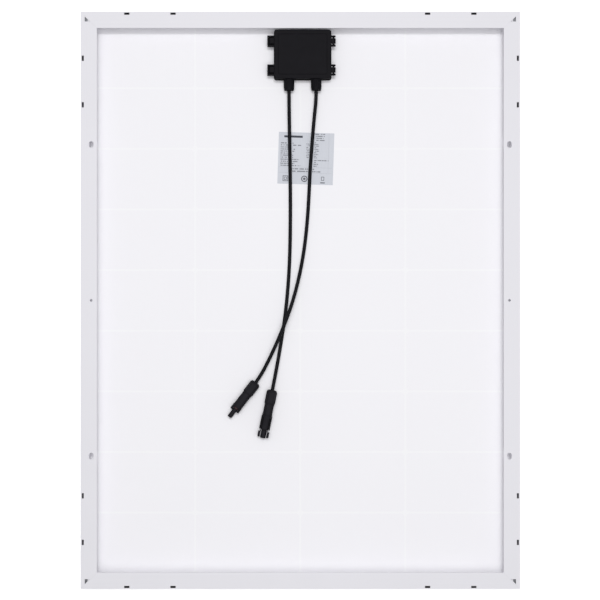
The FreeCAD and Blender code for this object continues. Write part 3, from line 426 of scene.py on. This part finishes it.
def either(first, *others):
    """The largest of several masks, so that marks join without adding up."""
    for other in others:
        first = first.maths("MAXIMUM", first, other)
    return first


def soft_step(distance, width, blur):
    """1 within this width of a line, falling smoothly to 0 over the blur."""
    return distance.node("MapRange", {"interpolation_type": "SMOOTHSTEP"},
                         {0: distance, 1: width, 2: width + blur, 3: 1.0, 4: 0.0})


def film(place):
    across, along, _ = split(place)
    off_column = to_nearest(across, COLUMN)
    off_row = to_nearest(along, ROW, ROW / 2)
    inside = (soft_step(abs(across), COLUMNS / 2 * COLUMN, 2 * MM)
              * soft_step(abs(along), ROWS / 2 * ROW, 2 * MM))
    column_gap = soft_step(off_column, GAP / 2, 1.2 * MM)
    row_gap = soft_step(off_row, GAP / 2, 1.2 * MM)
    diamond = soft_step(off_column + off_row, DIAMOND, 2 * MM)
    gap = either(column_gap, row_gap, diamond) * inside
    off_ribbon = to_nearest(across % COLUMN - COLUMN / 2, RIBBON_SPACING)
    ribbon = soft_step(off_ribbon, 0.6 * MM, 1.5 * MM) * inside
    cloud = noise(place, 90, 2)
    grain = noise(place, 0.8, 2)
    shade = gap * 0.75 + cloud * 0.25
    return {
        "Base Color": mixed(shade, tone(246, 245, 249), tone(249, 249, 251)),
        "Roughness": 0.52 + grain * 0.1,
        "Normal": bump(ribbon * 0.3 + gap * -0.3 + cloud * 0.4 + grain * 0.03, 0.08),
    }


coat(finish("white_film", {"IOR": 1.42}, film), "white_backsheet", frame["nodes"]["backsheet"])

# %% [markdown]
# ## Rating label
#
# A rating label is printed foil: rows of small type in two columns, a few ruled lines and some
# symbols. Here the type is only blocks of ink of random length, and the symbols are a plain bar,
# square, ring and dash, so that nothing can be read and no mark is anybody's. Each mark is a test
# on the place of a point: 1 where there is ink and 0 where there is none. That keeps the print
# sharp at any distance, where a picture of it would blur.

# %% Marks of ink
LABEL_PLACE = Vector((8.5, 218.5)) * MM
LABEL_TURN = math.radians(-1.8)
BLOCK = 0.75
BARE_SHARE = 0.22
INKED_HEIGHT = 0.52


def on_label(place):
    """Millimetres across and along the label from its middle."""
    x, y, _ = split(place)
    x, y = x - LABEL_PLACE.x, y - LABEL_PLACE.y
    right, up = math.cos(LABEL_TURN) / MM, math.sin(LABEL_TURN) / MM
    return x * right + y * up, y * right - x * up


def between(value, low, high):
    """1 where the value lies between two others, and 0 elsewhere."""
    return (value > low) * (value < high)


def chance(value):
    """A random number from 0 to 1 that stays the same for the same value."""
    return value.node("TexWhiteNoise", {"noise_dimensions": "1D"}, {"W": value})


def print_rows(u, v, left, top, rows, pitch, shortest, longest):
    """Rows of ink blocks of random length, broken up as words are."""
    line = (top - v) / pitch
    row = line.maths("FLOOR", line)
    size = chance(row + left) * (longest - shortest) + shortest
    block = (u - left) / BLOCK
    block = block.maths("FLOOR", block)
    inked = chance(block + row * 61 + left) > BARE_SHARE
    here = between(row, -0.5, rows - 0.5) * (line % 1 < INKED_HEIGHT)
    return here * between(u - left, 0, size) * inked


def frame_of(u, v, middle, width, height, pen):
    """The outline of a rectangle drawn with a pen of that width."""
    aside, above = abs(u - middle[0]), abs(v - middle[1])
    outside = either(aside - width / 2, above - height / 2)
    return between(outside, -pen, 0)


def ring_of(u, v, middle, radius, pen):
    """A circle drawn with a pen of that width."""
    du, dv = u - middle[0], v - middle[1]
    squared = du * du + dv * dv
    return between(squared.maths("SQRT", squared), radius - pen, radius)


print("label turned by", round(math.degrees(LABEL_TURN), 1), "degrees")

# %% [markdown]
# ## Layout of the label
#
# The label is laid out as such labels are: a heading bar, two columns of values, two wider lines,
# and a row of symbols under a rule. Each block of rows is one call, in the label's own
# millimetres from its middle. The ink is mixed over the foil, and it is a little rougher than the
# foil, as real ink is.

# %% Print the label
def printed(place):
    u, v = on_label(place)
    heading = between(u, -34.2, -5.8) * between(v, 31.6, 34.8)
    type_rows = either(
        print_rows(u, v, -39.2, 23.8, 12, 3.13, 9, 15),
        print_rows(u, v, -21.2, 23.8, 12, 3.13, -4, 16),
        print_rows(u, v, 13.6, 38.6, 4, 3.1, 9, 17),
        print_rows(u, v, 0.2, 23, 9, 2.6, 4, 6.5),
        print_rows(u, v, 12.4, 25.4, 10, 2.6, 3, 8),
        print_rows(u, v, 12.0, -1.8, 1, 3.0, 23, 25),
        print_rows(u, v, 12.0, -4.7, 3, 3.0, 3, 8),
        print_rows(u, v, -21.2, -15.4, 2, 3.7, 32, 46),
    )
    rules = either(
        between(v, -13.9, -13.6), between(v, -22.6, -22.3),
        between(u, 34.5, 34.8) * (v > -22), between(u, 2.0, 2.2) * (v < 36),
    ) * between(u, -41.5, 41.5)
    square, target, dash = (-30.6, -31.4), (-1.4, -31.4), (26.8, -30.4)
    symbols = either(
        frame_of(u, v, square, 8.2, 8.6, 0.9), frame_of(u, v, square, 4.2, 4.6, 0.8),
        ring_of(u, v, target, 4.9, 1.5), ring_of(u, v, target, 2.0, 2.0),
        between(u, 23.2, 30.2) * between(v, -37.6, -36), frame_of(u, v, dash, 4.6, 6.0, 0.8),
    )
    ink = either(heading * 0.95, type_rows * 0.62, rules * 0.3, symbols * 0.85)
    foil = noise(place, 1.2, 2, (1, 12, 1))
    silver = mixed(foil, tone(202, 205, 213), tone(214, 217, 225))
    return {
        "Base Color": mixed(ink, silver, tone(52, 54, 64)),
        "Roughness": 0.5 + ink * 0.2 + foil * 0.1,
        "Normal": bump(foil, 0.006),
    }


foil_print = finish("printed_foil", {"Specular IOR Level": 0.3}, printed)
coat(foil_print, "label_foil", frame["nodes"]["rating_label"])

# %% [markdown]
# ## Black mouldings
#
# The box and the connectors are glass-filled nylon and PPO, moulded in a spark-eroded tool. That
# leaves a fine even pitting, which keeps the black matt, and faint lighter clouds where the glass
# fibre lies near the surface. A plain black would look like a hole in the picture.

# %% Box, glands and connectors
MATT_BLACK = {"IOR": 1.5, "Specular IOR Level": 0.1}


def eroded(dark, light, pit, depth):
    """A pitted moulding between two blacks, with pits of that size and depth in millimetres."""
    def look(place):
        pits = noise(place, pit, 2)
        clouds = noise(place, 14, 3)
        return {
            "Base Color": mixed(clouds * 0.6 + pits * 0.4, dark, light),
            "Roughness": 0.55 + pits * 0.2,
            "Normal": bump(pits, depth),
        }
    return look


box_black = finish("moulded_box_black", MATT_BLACK,
                   eroded(tone(12, 11, 15), tone(24, 23, 28), 0.5, 0.03))
gland_black = finish("moulded_gland_black", MATT_BLACK,
                     eroded(tone(12, 12, 16), tone(22, 21, 26), 0.4, 0.02))
plug_black = finish("moulded_plug_black", MATT_BLACK,
                    eroded(tone(16, 15, 19), tone(42, 41, 46), 0.35, 0.03))
coat(box_black, "black_box_plastic", pieces["junction_box_base"], pieces["junction_box_lid"])
coat(gland_black, "black_box_plastic", pieces["gland_nut_left"], pieces["gland_nut_right"])
plug_parts = [piece for name, piece in pieces.items()
              if name.startswith(("female", "male", "latch"))]
coat(plug_black, "black_connector_plastic", *plug_parts)

# %% [markdown]
# ## Cable jacket and rubber
#
# The jacket is extruded cross-linked polyolefin, smoother than the mouldings, with a slight shine
# along its length. The seal ring on the socket's nose is dark red silicone rubber, and the seals
# inside the glands and under the lid are black.

# %% Cables, rings and seals
def jacket(place):
    drag = noise(place, 0.7, 2, (1, 6, 1))
    dust = noise(place, 9, 3)
    return {
        "Base Color": mixed(dust, tone(8, 8, 12), tone(19, 19, 24)),
        "Roughness": 0.48 + drag * 0.14,
        "Normal": bump(drag, 0.012),
    }


def rubber(dark, light):
    def look(place):
        bloom = noise(place, 1.5, 3)
        return {
            "Base Color": mixed(bloom, dark, light),
            "Roughness": 0.5 + bloom * 0.15,
            "Normal": bump(bloom, 0.02),
        }
    return look


def nodes_named(*names):
    return [frame["nodes"][name] for name in names]


jacket_black = finish("cable_jacket_black", {"Specular IOR Level": 0.12}, jacket)
coat(jacket_black, "cable_jacket", *cables.values(),
     *nodes_named("cable_stub_left", "cable_stub_right"))
red_rubber = finish("dark_red_rubber", {"Specular IOR Level": 0.4},
                    rubber(tone(36, 12, 17), tone(56, 20, 27)))
coat(red_rubber, "dark_red_rubber", *nodes_named("socket_seal_ring"))
black_rubber = finish("black_seal_rubber", {"Specular IOR Level": 0.3},
                      rubber(tone(16, 16, 18), tone(34, 34, 37)))
coat(black_rubber, "black_gasket", *nodes_named(
    "lid_gasket", "gland_seal_left", "gland_seal_right", "female_cable_seal", "male_cable_seal"))

# %% [markdown]
# ## Inside the box and the plugs
#
# These show only with the lid open or down the mouth of a plug: copper rails that carry the
# current, epoxy diodes, bright contacts, and the white silicone that pots and seals. They get the
# same care, since the lid does open.

# %% Metals, epoxy and silicone
def rolled(dark, light, size, depth):
    """A drawn or rolled metal between two colours, with marks of that size and depth."""
    def look(place):
        marks = noise(place, size, 3, (1, 8, 1))
        stains = noise(place, 6, 3)
        return {
            "Base Color": mixed(stains * 0.7 + marks * 0.3, dark, light),
            "Roughness": 0.24 + stains * 0.2,
            "Normal": bump(marks, depth),
        }
    return look


def cured(dark, light, size, rough):
    """A resin set between two colours, with a skin of that size and at least that roughness."""
    def look(place):
        skin = noise(place, size, 2)
        return {
            "Base Color": mixed(skin, dark, light),
            "Roughness": rough + skin * 0.15,
            "Normal": bump(skin, 0.05),
        }
    return look


METAL = {"Metallic": 1.0}
EPOXY = {"Specular IOR Level": 0.45}
copper = finish("rolled_copper", METAL, rolled(tone(176, 98, 62), tone(222, 148, 108), 0.3, 0.01))
strand = finish("drawn_copper_core", METAL,
                rolled(tone(196, 112, 74), tone(232, 160, 118), 0.25, 0.04))
tinned = finish("tinned_ribbon", METAL,
                rolled(tone(188, 190, 194), tone(224, 226, 230), 0.5, 0.008))
silvered = finish("silvered_contact", METAL,
                  rolled(tone(190, 188, 182), tone(228, 226, 220), 0.2, 0.006))
epoxy = finish("diode_epoxy", EPOXY, cured(tone(18, 18, 20), tone(40, 40, 42), 0.6, 0.4))
silicone = finish("white_silicone", {}, cured(tone(214, 214, 212), tone(238, 238, 236), 2, 0.4))
sealant = finish("frame_sealant", {}, cured(tone(196, 196, 194), tone(226, 226, 224), 3, 0.45))
coat(copper, "contact_copper", *nodes_named(
    "contact_rail_left", "contact_rail_middle", "contact_rail_right"))
coat(strand, "copper_core", *nodes_named("cable_core_left", "cable_core_right"))
coat(tinned, "tinned_ribbon", *nodes_named(
    "bus_ribbons", *[f"tabbing_ribbons_{n}" for n in range(1, COLUMNS + 1)]))
coat(silvered, "plug_contact_metal", *nodes_named("pin_contact", "socket_contact"))
coat(epoxy, "diode_epoxy", *nodes_named("bypass_diode_left", "bypass_diode_right"))
coat(silicone, "white_silicone", *nodes_named("box_adhesive"))
coat(sealant, "edge_sealant", *nodes_named("edge_seal"))

# %% [markdown]
# ## The front: glass, encapsulant and cells
#
# The front faces the floor, but it is a real solar panel there too. The glass is low-iron and
# rolled with a fine pebbled texture. The cells are nearly black with a blue nitride layer that
# varies a little from cell to cell, and carry silver fingers every millimetre and a half across
# the ribbons. The glass and the encapsulant are clear films here: they let the surface behind
# them show through and keep only their own gloss. True refraction through five touching layers
# would be slow and noisy for the same picture.

# %% Glass, encapsulant and cells
FINGER_SPACING = 1.5 * MM
FINGER_HALF = 0.05 * MM
RIBBON_HALF = 0.45 * MM


def pebbled(place):
    pebble = noise(place, 1.4, 2)
    return {
        "Base Color": mixed(pebble, tone(214, 226, 224), tone(226, 236, 234)),
        "Roughness": 0.08 + pebble * 0.1,
        "Normal": bump(pebble, 0.05),
    }


def resin(place):
    flow = noise(place, 12, 2)
    return {
        "Base Color": mixed(flow, tone(228, 230, 228), tone(240, 242, 240)),
        "Roughness": 0.2 + flow * 0.1,
    }


def cell(place):
    across, along, _ = split(place)
    face = place.node("NewGeometry", {}, {}, 1)
    rear = split(face)[2] > 0.5
    column = across / COLUMN
    row = along / ROW + 0.5
    batch = chance(column.maths("FLOOR", column) * 9 + row.maths("FLOOR", row))
    blue = mixed(batch, tone(13, 20, 42), tone(20, 30, 58))
    finger = to_nearest(along, FINGER_SPACING) < FINGER_HALF
    under_ribbon = to_nearest(across % COLUMN - COLUMN / 2, RIBBON_SPACING) < RIBBON_HALF
    silver = either(finger, under_ribbon)
    front_look = mixed(silver, blue, tone(172, 176, 182))
    paste = mixed(noise(place, 3, 3), tone(138, 140, 144), tone(160, 162, 166))
    return {
        "Base Color": mixed(rear, front_look, paste),
        "Roughness": 0.3 + silver * 0.25 + rear * 0.3,
        "Metallic": either(silver, rear) * 0.7,
    }


glass = finish("rolled_solar_glass", {"Alpha": 0.16, "IOR": 1.5}, pebbled)
encapsulant = finish("clear_encapsulant", {"Alpha": 0.06, "IOR": 1.48}, resin)
silicon = finish("silicon_cell", {"IOR": 1.9}, cell)
coat(glass, "solar_glass", *nodes_named("front_glass"))
coat(encapsulant, "encapsulant", *nodes_named("front_encapsulant", "rear_encapsulant"))
coat(silicon, "silicon_cell", *nodes_named(*[f"cell_string_{n}" for n in range(1, COLUMNS + 1)]))

# %% [markdown]
# ## Floor and light
#
# A catalogue picture of a white-backed panel is high key: a white floor and white all round. Two
# soft boxes light it. The key light stands beyond the box's end and throws the short shadow under
# the top flange. A wide soft box overhead fills the rest, so that the long flanges cast almost
# none. One light alone would leave either no shadow or a hard one. The floor glows slightly, as a
# light table does, so that the panel's own shadow doesn't turn it grey.

# %% Floor and sky
FLOOR_DROP = 0.2 * MM
FLOOR_HALF = 6.0
FLOOR_GLOW = 0.4
SKY_COLOUR = (0.985, 0.985, 1.0, 1)
SKY_STRENGTH = 0.27


def sweep(place):
    fleck = noise(place, 400, 2)
    return {"Base Color": mixed(fleck, tone(250, 250, 250), tone(254, 254, 254))}


floor_mesh = bpy.data.meshes.new("floor")
corners = [(x * FLOOR_HALF, y * FLOOR_HALF, -FLOOR_DROP)
           for x, y in ((-1, -1), (1, -1), (1, 1), (-1, 1))]
floor_mesh.from_pydata(corners, [], [(0, 1, 2, 3)])
floor = bpy.data.objects.new("floor", floor_mesh)
bpy.context.scene.collection.objects.link(floor)
floor.data.materials.append(finish("white_floor", {
    "Roughness": 0.6, "Specular IOR Level": 0.2,
    "Emission Color": (1, 1, 1, 1), "Emission Strength": FLOOR_GLOW,
}, sweep))

world = bpy.data.worlds.new("studio")
world.use_nodes = True
sky = world.node_tree.nodes["Background"]
sky.inputs["Color"].default_value = SKY_COLOUR
sky.inputs["Strength"].default_value = SKY_STRENGTH
bpy.context.scene.world = world
bpy.context.scene.view_settings.view_transform = "Standard"
print("floor", 2 * FLOOR_HALF, "m wide")

# %% [markdown]
# ## Two soft boxes
#
# Each light faces the middle of the panel. The key is long and narrow and stands far off, so its
# shadow under the top flange has an edge. The overhead is wider than the panel and close, so what
# shadow it casts is only a faint grey along the foot of each wall. A wide one also keeps the
# box's flat lid from showing a bright spot.

# %% Set up the lights
KEY_PLACE, KEY_SIDES, KEY_POWER = (0.3, 1.9, 7.0), (1.8, 0.7), 128
OVERHEAD_PLACE, OVERHEAD_SIDES, OVERHEAD_POWER = (0.03, 0.02, 2.6), (3.0, 1.9), 39


def soft_box(name, place, sides, power):
    """A rectangular studio light that faces the middle of the panel."""
    lamp = bpy.data.lights.new(name, "AREA")
    lamp.shape, lamp.size, lamp.size_y, lamp.energy = "RECTANGLE", *sides, power
    light = bpy.data.objects.new(name, lamp)
    light.location = place
    light.rotation_euler = (-light.location).to_track_quat("-Z", "Y").to_euler()
    bpy.context.scene.collection.objects.link(light)
    return light


soft_box("key_light", KEY_PLACE, KEY_SIDES, KEY_POWER)
soft_box("overhead", OVERHEAD_PLACE, OVERHEAD_SIDES, OVERHEAD_POWER)
print("studio lit by", len(bpy.data.lights), "soft boxes")
